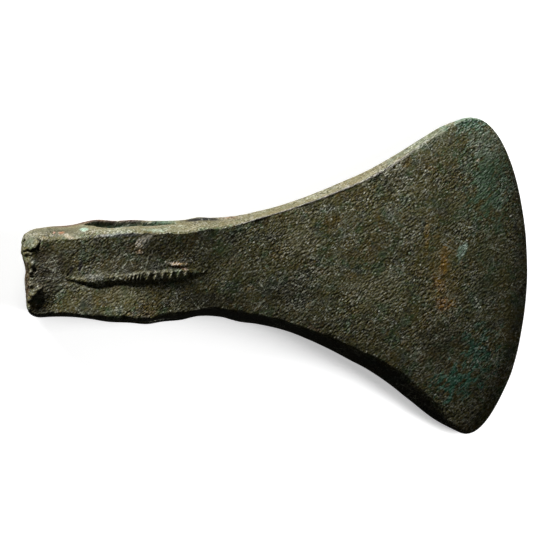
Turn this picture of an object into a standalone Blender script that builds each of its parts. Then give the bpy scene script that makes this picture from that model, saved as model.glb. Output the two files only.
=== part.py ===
"""Cast bronze axe head with a shaft hole, one solid, lying on its back face.

Frame: metres, +X from the poll to the cutting edge, +Y across the head, +Z up.
The origin is at the centre of the bounding box, on the surface it lies on.

The body starts as a block cut into a lattice. Each lattice point has three
parameters: along (0 poll, 1 edge), across (-1 lower side, 1 upper side) and
deep (-1 back face, 1 front face), and functions of them give its place.
Places are worked out in millimetres from the poll, and moved at the end.
"""

import math

import bmesh
import bpy
import numpy as np

MM = 0.001

# The whole head: its length, and where the frame's origin lies, as a distance
# from the poll and a place across.
LENGTH = 165.3
FRAME_ORIGIN = (82.65, 0.1)

# The lattice: cuts along, across and deep, and how fine its ends are.
LATTICE_CUTS = (55, 25, 9)
END_GRADING = 0.42
SIDE_GRADING = 0.7

# Plan outline: distance from the poll, then the upper and the lower side.
PLAN_STATIONS = (
    (6.0, 15.1, -13.6),
    (14.0, 16.0, -13.5),
    (24.0, 17.8, -14.5),
    (40.0, 18.2, -15.8),
    (52.0, 17.8, -14.5),
    (61.0, 18.8, -13.3),
    (73.0, 19.7, -15.1),
    (88.0, 23.9, -18.9),
    (106.0, 31.1, -27.5),
    (124.0, 40.5, -38.9),
    (136.0, 47.5, -47.5),
    (143.0, 50.9, -51.0),
)

# The cutting edge is an arc, which soft corners join to the long sides.
# The toe is its upper corner and the heel its lower one.
EDGE_CENTRE = (49.3, 2.7)
EDGE_RADIUS = 116.0
EDGE_ANGLES = (-17.4, 15.2)
TOE_CORNER = (154.6, 55.6)
HEEL_CORNER = (150.8, -55.0)

# The poll's end, from its lower to its upper point, and its two corners.
POLL_END = ((1.6, -7.5), (0.2, 8.0))
POLL_UPPER_CORNER = (0.4, 15.1)
POLL_LOWER_CORNER = (2.2, -13.6)

# Side profile: distance from the poll, then the back and the front face.
# Where the blade fans out, the profile follows the fan's curved cross lines.
DEPTH_STATIONS = (
    (0.0, 2.4, 24.5),
    (10.0, 1.1, 25.5),
    (22.0, 0.2, 26.3),
    (36.0, -0.5, 26.5),
    (47.0, 0.2, 24.9),
    (64.0, 2.0, 20.1),
    (84.0, 2.7, 15.8),
    (112.0, 2.2, 12.1),
    (138.0, 1.3, 8.6),
    (156.0, 0.4, 4.8),
    (165.3, 0.0, 1.2),
)
FAN_RUN = (90.0, 150.0)
BACK_CROWN = 0.6
FRONT_CROWN = 0.8
POLL_ROUND = 3.2
POLL_DROP = 2.6
POLL_CROWN = 0.8

# Sloping flanks: distance from the poll, then the upper and the lower one's
# width in plan. They are widest under the middle of the depth.
FLANK_STATIONS = (
    (0.0, 1.8, 1.0),
    (28.0, 4.5, 1.1),
    (58.0, 4.5, 2.4),
    (78.0, 2.6, 3.2),
    (104.0, 2.6, 3.8),
    (127.0, 2.0, 4.7),
    (141.0, 0.8, 1.4),
    (165.0, 0.3, 0.3),
)
WIDEST_LEVEL = -0.4
BACK_FLANK = 0.75

# Shaft hole: an oval that runs right through from side to side.
HOLE_DISTANCE = 38.5
HOLE_LEVEL = 13.6
HOLE_LENGTH = 33.0
HOLE_HEIGHT = 13.0
HOLE_TAPER = 0.94
HOLE_SIDES = 36
CUTTER_RUN = 60.0

# Rib on the front face, over the hole, and the dish that it stands in.
RIB_START = (14.0, -1.0)
RIB_FINISH = (58.5, 1.5)
RIB_HALF_WIDTH = 2.2
RIB_HEIGHT = 1.3
DISH_DEPTH = 0.85

# Burrs that hammering raised on the poll, and the hollow beside them:
# distance from the poll, place across, radius and height.
POLL_LUMPS = (
    (2.8, 11.9, 3.6, 1.2),
    (3.0, -7.2, 3.4, 1.0),
    (6.6, -9.2, 3.8, -1.6),
)

BRONZE_COLOUR = (0.105, 0.098, 0.055, 1.0)
BRONZE_METALLIC = 0.3
BRONZE_ROUGHNESS = 0.6


def curve_through(stations, column, at):
    """A smooth curve through one column of a table of stations."""
    table = np.array(stations)
    x, y = table[:, 0], table[:, column]
    slopes = np.gradient(y, x)
    at = np.clip(at, x[0], x[-1])
    i = np.clip(np.searchsorted(x, at, side="right") - 1, 0, len(x) - 2)
    step = x[i + 1] - x[i]
    t = (at - x[i]) / step
    rise = t * t * (3 - 2 * t)
    start = t * (1 - t) ** 2 * step * slopes[i]
    finish = t * t * (1 - t) * step * slopes[i + 1]
    return y[i] + (y[i + 1] - y[i]) * rise + start - finish


def corner(start, control, finish, count=24):
    """A soft corner, as the two halves of a quadratic curve."""
    t = np.linspace(0, 1, 2 * count + 1)[:, None]
    start, control, finish = (np.array(point) for point in (start, control, finish))
    points = (1 - t) ** 2 * start + 2 * t * (1 - t) * control + t * t * finish
    return points[: count + 1], points[count:]


def side_line(column, count=160):
    """One long side of the outline, without its corners."""
    x = np.linspace(PLAN_STATIONS[0][0], PLAN_STATIONS[-1][0], count)
    return np.stack([x, curve_through(PLAN_STATIONS, column, x)], 1)


def edge_arc(count=96):
    """The cutting edge's arc, from the heel to the toe."""
    angles = np.radians(np.linspace(*EDGE_ANGLES, count))
    circle = np.stack([np.cos(angles), np.sin(angles)], 1)
    return np.array(EDGE_CENTRE) + EDGE_RADIUS * circle


def point_on(line, share):
    """The points at the given shares of a line's length."""
    steps = np.linalg.norm(np.diff(line, axis=0), axis=1)
    run = np.concatenate([[0.0], np.cumsum(steps)])
    return np.stack([np.interp(share * run[-1], run, line[:, k]) for k in (0, 1)], 1)


class Plan:
    """The plan outline: four lines that meet in the middle of its corners.

    The poll and edge lines run upwards, and the long sides to the edge.
    """

    def __init__(self):
        upper, lower, edge = side_line(1), side_line(2), edge_arc()
        poll_low, poll_up = POLL_END
        up_end, up_side = corner(poll_up, POLL_UPPER_CORNER, upper[0])
        low_end, low_side = corner(poll_low, POLL_LOWER_CORNER, lower[0])
        toe_side, toe_end = corner(upper[-1], TOE_CORNER, edge[-1])
        heel_side, heel_end = corner(lower[-1], HEEL_CORNER, edge[0])
        self.poll = np.concatenate([low_end[::-1], up_end])
        self.edge = np.concatenate([heel_end, edge[1:-1], toe_end[::-1]])
        self.upper = np.concatenate([up_side, upper[1:-1], toe_side])
        self.lower = np.concatenate([low_side, lower[1:-1], heel_side])

    def place(self, along, across):
        """Plan positions of lattice points, blended from the four lines."""
        rise = (across + 1) / 2
        u, v = along[:, None], rise[:, None]
        sides = (1 - v) * point_on(self.lower, along) + v * point_on(self.upper, along)
        ends = (1 - u) * point_on(self.poll, rise) + u * point_on(self.edge, rise)
        poll_corners = (1 - v) * self.lower[0] + v * self.upper[0]
        edge_corners = (1 - v) * self.lower[-1] + v * self.upper[-1]
        return sides + ends - (1 - u) * poll_corners - u * edge_corners

    def width(self, along):
        """The distance between the long sides."""
        gap = point_on(self.upper, along) - point_on(self.lower, along)
        return np.linalg.norm(gap, axis=1)


def flank_inset(x, across, deep):
    """How far inside the outline a flank is, at each side and depth."""
    rise = (across + 1) / 2
    upper = curve_through(FLANK_STATIONS, 1, x)
    lower = curve_through(FLANK_STATIONS, 2, x)
    front = (deep - WIDEST_LEVEL) / (1 - WIDEST_LEVEL)
    back = BACK_FLANK * (WIDEST_LEVEL - deep) / (1 + WIDEST_LEVEL)
    return np.maximum(front, back) * (rise * upper + (1 - rise) * lower)


def lump(x, y, distance, place, radius, height):
    """A rounded rise, or a hollow where the height is negative."""
    gone = np.clip(np.hypot(x - distance, y - place) / radius, 0, 1)
    return height * (1 - gone**2) ** 2


def rib_height(x, y):
    """The rib's height over the face: a ridge that runs out at both ends."""
    share = (x - RIB_START[0]) / (RIB_FINISH[0] - RIB_START[0])
    crest = RIB_START[1] + share * (RIB_FINISH[1] - RIB_START[1])
    swell = np.clip(4.5 * share * (1 - share), 0, 1) ** 0.5
    off = np.abs(y - crest) / RIB_HALF_WIDTH
    return RIB_HEIGHT * swell * np.clip(1 - off, 0, 1)


def front_relief(x, y, across):
    """What the front face has over its smooth profile."""
    over_hole = lump(x, 0, HOLE_DISTANCE, 0, 0.9 * HOLE_LENGTH, 1)
    relief = rib_height(x, y) - DISH_DEPTH * over_hole * (1 - across**2)
    return relief + sum(lump(x, y, *spot) for spot in POLL_LUMPS)


def lattice_place(plan, along, across, deep):
    """Millimetre positions of lattice points, from the poll's end."""
    outline_x = plan.place(along, across)[:, 0]
    inset = 2 * flank_inset(outline_x, across, deep) / plan.width(along)
    x, y = plan.place(along, across * (1 - inset)).T
    fan = np.clip((x - FAN_RUN[0]) / (FAN_RUN[1] - FAN_RUN[0]), 0, 1)
    distance = x + fan * (plan.place(along, 0 * across)[:, 0] - x)
    drop = POLL_DROP * np.clip(1 - x / POLL_ROUND, 0, 1) ** 2
    back = curve_through(DEPTH_STATIONS, 1, distance) + BACK_CROWN * across**2 + drop
    front = curve_through(DEPTH_STATIONS, 2, distance) - drop
    front = front - FRONT_CROWN * fan * across**4
    front = np.maximum(front, back + 1)
    z = (front + back) / 2 + deep * (front - back) / 2
    z = z + np.where(deep > 0.999, front_relief(x, y, across), 0)
    x = x + POLL_CROWN * deep**2 * np.clip(1 - distance / LENGTH * 8, 0, 1)
    return np.stack([x - FRAME_ORIGIN[0], y - FRAME_ORIGIN[1], np.maximum(z, 0)], 1)


def graded(steps, ends):
    """Spreads even steps from -1 to 1 so that they are finer at both ends."""
    return ends * steps + (1 - ends) * (3 * steps - steps**3) / 2


def lattice_block(cuts):
    """A closed cube from -1 to 1, cut into a lattice along each axis."""
    block = bmesh.new()
    bmesh.ops.create_cube(block, size=2)
    for axis, count in enumerate(cuts):
        rungs = [
            edge
            for edge in block.edges
            if abs(edge.verts[0].co[axis] - edge.verts[1].co[axis]) > 1.9
        ]
        bmesh.ops.subdivide_edges(block, edges=rungs, cuts=count, use_grid_fill=True)
    return block


def make_bronze():
    """The cast bronze's material."""
    bronze = bpy.data.materials.new("patinated_bronze")
    bronze.use_nodes = True
    shader = bronze.node_tree.nodes["Principled BSDF"]
    shader.inputs["Base Color"].default_value = BRONZE_COLOUR
    shader.inputs["Metallic"].default_value = BRONZE_METALLIC
    shader.inputs["Roughness"].default_value = BRONZE_ROUGHNESS
    return bronze


def add_object(name, shape):
    """Turns a bmesh into a named object in the scene."""
    mesh = bpy.data.meshes.new(name)
    shape.to_mesh(mesh)
    shape.free()
    thing = bpy.data.objects.new(name, mesh)
    bpy.context.collection.objects.link(thing)
    return thing


def make_head():
    """The axe head before its shaft hole is cut."""
    block = lattice_block(LATTICE_CUTS)
    lattice = np.array([vert.co for vert in block.verts])
    along = (graded(lattice[:, 0], END_GRADING) + 1) / 2
    across = graded(lattice[:, 1], SIDE_GRADING)
    places = lattice_place(Plan(), along, across, lattice[:, 2])
    for vert, place in zip(block.verts, places, strict=True):
        vert.co = place * MM
    head = add_object("axe_head", block)
    head.data.materials.append(make_bronze())
    head.data.shade_smooth()
    head.data.set_sharp_from_angle(angle=math.radians(35))
    return head


def make_hole_cutter():
    """The oval bar that cuts the shaft hole, tapering from side to side."""
    bar = bmesh.new()
    bmesh.ops.create_cone(
        bar,
        cap_ends=True,
        segments=HOLE_SIDES,
        radius1=0.5,
        radius2=0.5 * HOLE_TAPER,
        depth=1,
    )
    for vert in bar.verts:
        long, tall, run = vert.co
        x = HOLE_DISTANCE - FRAME_ORIGIN[0] + long * HOLE_LENGTH
        z = HOLE_LEVEL - tall * HOLE_HEIGHT
        vert.co = (x * MM, run * CUTTER_RUN * MM, z * MM)
    cutter = add_object("shaft_hole_cutter", bar)
    cutter.hide_render = True
    cutter.display_type = "WIRE"
    return cutter


def build():
    """Clears the scene and models the axe head."""
    for old in list(bpy.data.objects):
        bpy.data.objects.remove(old, do_unlink=True)
    cut = make_head().modifiers.new("shaft hole", "BOOLEAN")
    cut.operation = "DIFFERENCE"
    cut.object = make_hole_cutter()


build()
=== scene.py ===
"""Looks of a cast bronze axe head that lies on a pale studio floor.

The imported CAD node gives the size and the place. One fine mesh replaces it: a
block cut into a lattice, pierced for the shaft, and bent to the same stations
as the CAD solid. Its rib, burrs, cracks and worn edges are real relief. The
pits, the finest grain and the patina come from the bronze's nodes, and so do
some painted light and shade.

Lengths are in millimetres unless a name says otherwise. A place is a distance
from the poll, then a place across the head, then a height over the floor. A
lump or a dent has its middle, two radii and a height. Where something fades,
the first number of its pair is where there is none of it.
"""

from __future__ import annotations

import logging
import math
from dataclasses import dataclass, field
from enum import IntEnum, StrEnum
from functools import partial

import bmesh
import bpy
import numpy as np
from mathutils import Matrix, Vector, noise


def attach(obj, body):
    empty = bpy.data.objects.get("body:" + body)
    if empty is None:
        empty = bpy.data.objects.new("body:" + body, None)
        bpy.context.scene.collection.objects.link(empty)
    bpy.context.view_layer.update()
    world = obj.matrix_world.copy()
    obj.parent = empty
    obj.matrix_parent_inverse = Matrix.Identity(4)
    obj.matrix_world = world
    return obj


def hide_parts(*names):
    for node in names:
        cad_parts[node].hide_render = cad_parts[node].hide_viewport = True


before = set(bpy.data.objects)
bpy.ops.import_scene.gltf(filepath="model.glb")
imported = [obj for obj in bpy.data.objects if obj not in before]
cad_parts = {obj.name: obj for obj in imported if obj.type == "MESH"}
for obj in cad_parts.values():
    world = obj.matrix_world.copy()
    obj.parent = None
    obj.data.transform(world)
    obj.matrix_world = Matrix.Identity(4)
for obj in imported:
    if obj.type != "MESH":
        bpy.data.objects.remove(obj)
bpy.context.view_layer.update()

MM = 0.001
LOG = logging.getLogger("axe_head")

# The lattice block runs from -1 to 1, and past this a point is on one of its sides.
ON_SIDE = 0.999
# Keeps a division from a zero length.
TINY = 1e-6
# The colour mixer's sockets are numbered, because each type of data has its own.
MIX_SHARE, MIX_UNDER, MIX_OVER, MIX_RESULT = 0, 6, 7, 2
WHITE = "ffffff"

Array = np.ndarray
Pair = tuple[float, float]
Numbers = tuple[float, ...]
# Rows of numbers, such as stations along the head.
Table = tuple[Numbers, ...]
Shape = bmesh.types.BMesh
Faces = list[bmesh.types.BMFace]
Socket = bpy.types.NodeSocket
Tree = bpy.types.NodeTree


class Axis(IntEnum):
    """The lattice block's axes."""

    ALONG = 0
    ACROSS = 1
    DEEP = 2


class Rise(StrEnum):
    """How a share rises between two ends, by the range node's own names."""

    EVEN = "LINEAR"
    SMOOTH = "SMOOTHSTEP"


# Settings that many nodes share.
TEXTURE = {"vector_type": "TEXTURE"}
SMOOTH = {"interpolation_type": Rise.SMOOTH}
MULTIPLY_ADD = {"operation": "MULTIPLY_ADD"}


@dataclass
class Spots:
    """Points of the head, as the lattice numbers them.

    Attributes:
        distance: Distances from the poll, on the middle line.
        across: -1 at the lower side and 1 at the upper one.
        deep: -1 at the back face and 1 at the front one.
    """

    distance: Array
    across: Array
    deep: Array


@dataclass
class Site:
    """What lies round each point of the head.

    Attributes:
        inward: The distance from the outline.
        below: The distance from the nearer face.
        square: How many times further out than the shaft hole's rim it is.
        on_side: Whether it is on a flank.
        at_rim: Whether it is on the hole's rim or in its bore.
    """

    inward: Array
    below: Array
    square: Array
    on_side: Array
    at_rim: Array


def smooth_step(low: float, high: float, value: Array) -> Array:
    """Rises smoothly from 0 at low to 1 at high, which may be the lesser one."""
    share = np.clip((value - low) / (high - low), 0, 1)
    return share * share * (3 - 2 * share)


def curve_through(stations: Table, column: int, at: Array) -> Array:
    """Runs a smooth curve through one column of a table of stations.

    Args:
        stations: Rows that start with a distance.
        column: Which number of each row the curve passes through.
        at: The distances to look up.

    Returns:
        The curve's height at each distance.
    """
    table = np.array(stations)
    x, y = table[:, 0], table[:, column]
    slopes = np.gradient(y, x)
    at = np.clip(at, x[0], x[-1])
    i = np.clip(np.searchsorted(x, at, side="right") - 1, 0, len(x) - 2)
    step = x[i + 1] - x[i]
    t = (at - x[i]) / step
    rise = t * t * (3 - 2 * t)
    start = t * (1 - t) ** 2 * step * slopes[i]
    finish = t * t * (1 - t) * step * slopes[i + 1]
    return y[i] + (y[i + 1] - y[i]) * rise + start - finish


def random_waves(places: Array, period: float, octaves: int, seed: float = 0) -> Array:
    """Gives each place a smooth random number. Finer waves are half as high."""
    shifted = places / period + seed
    return np.array([noise.fractal(Vector(p), 1.0, 2.0, octaves) for p in shifted])


def ripple(value: Array, sines: Table) -> Array:
    """Adds up sine waves, each given by its height, rate and start."""
    return sum(height * np.sin(rate * value + start) for height, rate, start in sines)


def lump(x: Array, y: Array, spot: Numbers) -> Array:
    """Raises a lump or sinks a dent."""
    u, v = (x - spot[0]) / spot[2], (y - spot[1]) / spot[3]
    return spot[4] * (1 - np.clip(u * u + v * v, 0, 1)) ** 2


@dataclass
class Plan:
    """The head's outline from above: four lines between its corners' middles.

    A side's stations are distances from the poll with places across the head,
    and the poll end's are places across with distances.
    """

    upper_side: Table = (
        (6, 15.6), (10, 16.1), (14, 16.3), (17.5, 16.8), (20.5, 17.6), (24.5, 18.3), (29, 18.1),
        (37, 18.4), (42, 18), (50, 18), (54, 18.4), (57, 19.1), (62, 19), (70, 19.6), (76, 20.8),
        (84, 22.9), (92, 25.6), (104, 30.5), (115, 35.6), (123, 40.2), (131, 45.2), (137, 48.8),
        (143, 51.1),
    )
    lower_side: Table = (
        (6, -13.7), (12, -13.4), (16, -13.5), (22, -14.1), (29, -15.2), (35, -15.5), (41, -15.9),
        (46, -15), (52, -14.4), (57.5, -13.2), (62, -13.1), (66, -13.6), (70, -14.8), (77, -15.8),
        (85, -17.6), (93, -20.6), (101, -24.3), (107, -27.5), (112, -30.1), (119, -34.7),
        (126.5, -40.6), (134.5, -46.8), (143, -51.2),
    )
    poll_end: Table = (
        (-9.5, 1.8), (-6, 1.5), (-3, 1.3), (-1, 1.2), (1.5, 1.4), (4, 1.1), (6.5, 0.4),
        (8.5, 0.1), (10.5, 0.1),
    )
    edge_centre: Pair = (49.3, 2.7)
    edge_radius: float = 116
    edge_angles: Pair = (-17.4, 15.2)
    toe: Pair = (154.6, 55.6)
    heel: Pair = (150.8, -55)
    poll_low_corner: Pair = (2.2, -13.6)
    poll_high_corner: Pair = (0.4, 15.1)
    line_points: int = 500
    edge_points: int = 200
    half_corner_points: int = 32
    middle_points: int = 600

    def __post_init__(self) -> None:
        """Works out the four lines and the distances along the middle."""
        upper, lower = self.line(self.upper_side), self.line(self.lower_side)
        poll, edge = self.line(self.poll_end)[:, ::-1], self.cutting_edge()
        up_end, up_side = self.corner(poll[-1], self.poll_high_corner, upper[0])
        low_end, low_side = self.corner(poll[0], self.poll_low_corner, lower[0])
        toe_side, toe_end = self.corner(upper[-1], self.toe, edge[-1])
        heel_side, heel_end = self.corner(lower[-1], self.heel, edge[0])
        self.poll = np.concatenate([low_end[::-1], poll[1:-1], up_end])
        self.edge = np.concatenate([heel_end, edge[1:-1], toe_end[::-1]])
        self.upper = np.concatenate([up_side, upper[1:-1], toe_side])
        self.lower = np.concatenate([low_side, lower[1:-1], heel_side])
        self.shares = np.linspace(0, 1, self.middle_points)
        self.middle = self.place(self.shares, 0 * self.shares)[:, 0]

    def line(self, stations: Table) -> Array:
        """Draws a smooth line through pairs of numbers, the first ones rising."""
        run = np.linspace(stations[0][0], stations[-1][0], self.line_points)
        return np.stack([run, curve_through(stations, 1, run)], 1)

    def cutting_edge(self) -> Array:
        """Draws the cutting edge's arc.

        Returns:
            Its points from the heel to the toe.
        """
        angles = np.radians(np.linspace(*self.edge_angles, self.edge_points))
        circle = np.stack([np.cos(angles), np.sin(angles)], 1)
        return np.array(self.edge_centre) + self.edge_radius * circle

    def corner(self, start: Array, control: Pair, finish: Array) -> tuple[Array, Array]:
        """Draws a soft corner.

        Args:
            start: Where it starts.
            control: The sharp corner that it rounds.
            finish: Where it ends.

        Returns:
            Its two halves, which share the middle point.
        """
        half = self.half_corner_points
        t = np.linspace(0, 1, 2 * half + 1)[:, None]
        sharp = np.array(control)
        points = (1 - t) ** 2 * start + 2 * t * (1 - t) * sharp + t * t * finish
        return points[: half + 1], points[half:]

    @staticmethod
    def on(line: Array, share: Array) -> Array:
        """Finds points by their share of a line's length.

        Args:
            line: The line's points.
            share: Shares from 0 to 1.

        Returns:
            One point for each share.
        """
        steps = np.linalg.norm(np.diff(line, axis=0), axis=1)
        run = np.concatenate([[0.0], np.cumsum(steps)])
        found = [np.interp(share * run[-1], run, line[:, k]) for k in (0, 1)]
        return np.stack(found, 1)

    def place(self, along: Array, across: Array) -> Array:
        """Blends the four lines into a place inside them.

        Args:
            along: 0 at the poll and 1 at the edge.
            across: -1 at the lower side and 1 at the upper one.

        Returns:
            One plan position for each pair.
        """
        rise = (across + 1) / 2
        u, v = along[:, None], rise[:, None]
        sides = (1 - v) * self.on(self.lower, along) + v * self.on(self.upper, along)
        ends = (1 - u) * self.on(self.poll, rise) + u * self.on(self.edge, rise)
        poll_corners = (1 - v) * self.lower[0] + v * self.upper[0]
        edge_corners = (1 - v) * self.lower[-1] + v * self.upper[-1]
        return sides + ends - (1 - u) * poll_corners - u * edge_corners

    def along(self, distance: Array) -> Array:
        """Turns a distance from the poll, on the middle line, into a share."""
        return np.interp(distance, self.middle, self.shares)

    def half_width(self, along: Array) -> Array:
        """Measures half of the head's width."""
        gap = self.on(self.upper, along) - self.on(self.lower, along)
        return np.linalg.norm(gap, axis=1) / 2


@dataclass
class Casting:
    """The smooth form that came out of the mould: faces, flanks and hole.

    Each table starts with distances from the poll. The depths give the back's
    and the front's heights, a flank's table its width in plan, and the crown's
    how far the front falls off towards the sides, in two powers.
    """

    plan: Plan = field(default_factory=Plan)
    depths: Table = (
        (0, 2.4, 24.5), (8, 1.3, 25.3), (20, 0.3, 26.2), (32, -0.5, 26.6), (39, -0.4, 26.4),
        (47, 0.2, 24.9), (56, 1.2, 22.6), (64, 2, 20.1), (73, 2.5, 17.9), (84, 2.7, 15.8),
        (97, 2.5, 13.8), (113, 2.2, 12), (126, 1.8, 10.3), (138, 1.3, 8.6), (148, 0.8, 6.7),
        (156, 0.4, 4.8), (161.5, 0.1, 3), (165.3, 0, 1),
    )
    upper_flank: Table = (
        (0, 1.7), (8, 2.6), (20, 4), (28, 4.6), (36, 4.2), (48, 4.3), (58, 4.5), (68, 3.5),
        (78, 2.6), (100, 2.5), (110, 2.6), (126, 2), (137, 1.2), (143, 0.5), (165, 0.3),
    )
    lower_flank: Table = (
        (0, 1), (28, 1.1), (40, 1.8), (56, 2.3), (66, 2.8), (74, 3.4), (84, 2.9), (104, 3.8),
        (127, 4.8), (134, 4), (140, 1.2), (145, 0.4), (165, 0.3),
    )
    front_crown: Table = (
        (0, 0.3, 0), (44, 0, 0), (58, 0, 0), (68, 0.2, 0), (78, 0.35, 0.1), (92, 0.3, 0.4),
        (115, 0, 0.8), (150, 0, 0.9), (160, 0, 0.5), (165, 0, 0),
    )
    widest_level: float = -0.4
    flat_level: float = 0.07
    back_flank: float = 0.75
    back_crown: float = 0.6
    thinnest: float = 0.8
    edge_bulge: float = 0.3
    edge_run: float = 1.5
    poll_round: float = 3.2
    poll_drop: float = 2.6
    poll_crown: float = 0.8
    poll_run: float = 20.6625
    length: float = 165.3
    fan_run: Pair = (90, 150)
    hole_distance: float = 38.5
    hole_half_length: float = 16.2
    hole_level: float = 0.03
    hole_half_height: float = 0.475
    hole_taper: float = 0.016
    hole_lean: Pair = (0.2, 0.6)
    hole_height: float = 13.6
    hole_reach: float = 1.85
    rim_round: float = 0.7
    rim_drop: float = 0.3

    def around_hole(self, spots: Spots) -> tuple[Spots, Array]:
        """Bends the lattice so that its square opening becomes an oval.

        Args:
            spots: Points of the head.

        Returns:
            The bent points, and how many times further out than the opening's
            rim each one is.
        """
        # Square rings turn oval at the rim, and stay square beyond the reach.
        size = 1 - self.hole_taper * spots.across
        p = (spots.distance - self.hole_distance) / self.hole_half_length
        q = (spots.deep - self.hole_level) / self.hole_half_height
        square = np.maximum(np.abs(p), np.abs(q))
        to_round = square / np.maximum(np.hypot(p, q), TINY) * size
        keep = smooth_step(1, self.hole_reach, square)
        low, high = self.hole_lean
        lean = np.where(p > 0, high, low) * np.clip(p, -1, 1) * np.clip(q, 0, 1)
        lean = lean * np.clip(spots.across, 0, 1)
        q = q * (1 - lean * (1 - keep))
        scale = to_round + (1 - to_round) * keep
        distance = self.hole_distance + self.hole_half_length * p * scale
        deep = self.hole_level + self.hole_half_height * q * scale
        return Spots(distance, spots.across, deep), square

    def inset(self, x: Array, spots: Spots) -> Array:
        """Measures how far inside the outline a flank is.

        Args:
            x: Distances from the poll at the places themselves.
            spots: Points of the head.

        Returns:
            The inset at each point.
        """
        rise = (spots.across + 1) / 2
        upper = curve_through(self.upper_flank, 1, x)
        lower = curve_through(self.lower_flank, 1, x)
        off = spots.deep - self.widest_level
        beyond = np.clip(np.abs(off) - self.flat_level, 0, None)
        front = beyond / (1 - self.widest_level - self.flat_level)
        back = self.back_flank * beyond / (1 + self.widest_level - self.flat_level)
        return np.where(off > 0, front, back) * (rise * upper + (1 - rise) * lower)

    def faces(self, x: Array, spots: Spots) -> tuple[Array, Array]:
        """Finds the heights of the back and the front face.

        They follow the real distance up to the neck, and the fan's curved
        cross lines towards the cutting edge.

        Args:
            x: Distances from the poll at the places themselves.
            spots: Points of the head.

        Returns:
            The back's and the front's heights.
        """
        distance = x + (spots.distance - x) * smooth_step(*self.fan_run, x)
        drop = self.poll_drop * np.clip(1 - x / self.poll_round, 0, 1) ** 2
        back = curve_through(self.depths, 1, distance) + drop
        back = back + self.back_crown * spots.across**2
        front = curve_through(self.depths, 2, distance) - drop
        for column, power in ((1, 2), (2, 4)):
            crown = curve_through(self.front_crown, column, distance)
            front = front - crown * spots.across**power
        return back, np.maximum(front, back + self.thinnest)

    def place(self, spots: Spots) -> Array:
        """Finds where points of the head lie.

        Args:
            spots: The points.

        Returns:
            One place for each point.
        """
        along = self.plan.along(spots.distance)
        outline_x = self.plan.place(along, spots.across)[:, 0]
        inset = self.inset(outline_x, spots) / self.plan.half_width(along)
        x, y = self.plan.place(along, spots.across * (1 - inset)).T
        back, front = self.faces(x, spots)
        z = (front + back) / 2 + spots.deep * (front - back) / 2
        near_poll = np.clip(1 - spots.distance / self.poll_run, 0, 1)
        near_edge = smooth_step(self.length - self.edge_run, self.length, spots.distance)
        x = x + self.poll_crown * spots.deep**2 * near_poll
        x = x - self.edge_bulge * spots.deep**2 * near_edge
        return np.stack([x, y, z], 1)

    def open_rims(self, places: Array, spots: Spots, site: Site) -> None:
        """Rounds the shaft hole's two rims.

        Args:
            places: The head's points, which are changed.
            spots: The same points in the lattice.
            site: What lies round them.
        """
        x_off = places[:, 0] - self.hole_distance
        z_off = places[:, 2] - self.hole_height
        away = np.maximum(np.hypot(x_off, z_off), TINY)
        flare = self.rim_drop * np.clip(1 - site.inward / self.rim_round, 0, 1) ** 2
        flare = np.where(site.at_rim, flare, 0)
        gap = (site.square - 1) * away / np.maximum(site.square, 1)
        sink = self.rim_drop * np.clip(1 - gap / self.rim_round, 0, 1) ** 2
        places[:, 0] += flare * x_off / away
        places[:, 2] += flare * z_off / away
        places[:, 1] -= np.where(site.on_side, np.sign(spots.across) * sink, 0)


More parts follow.
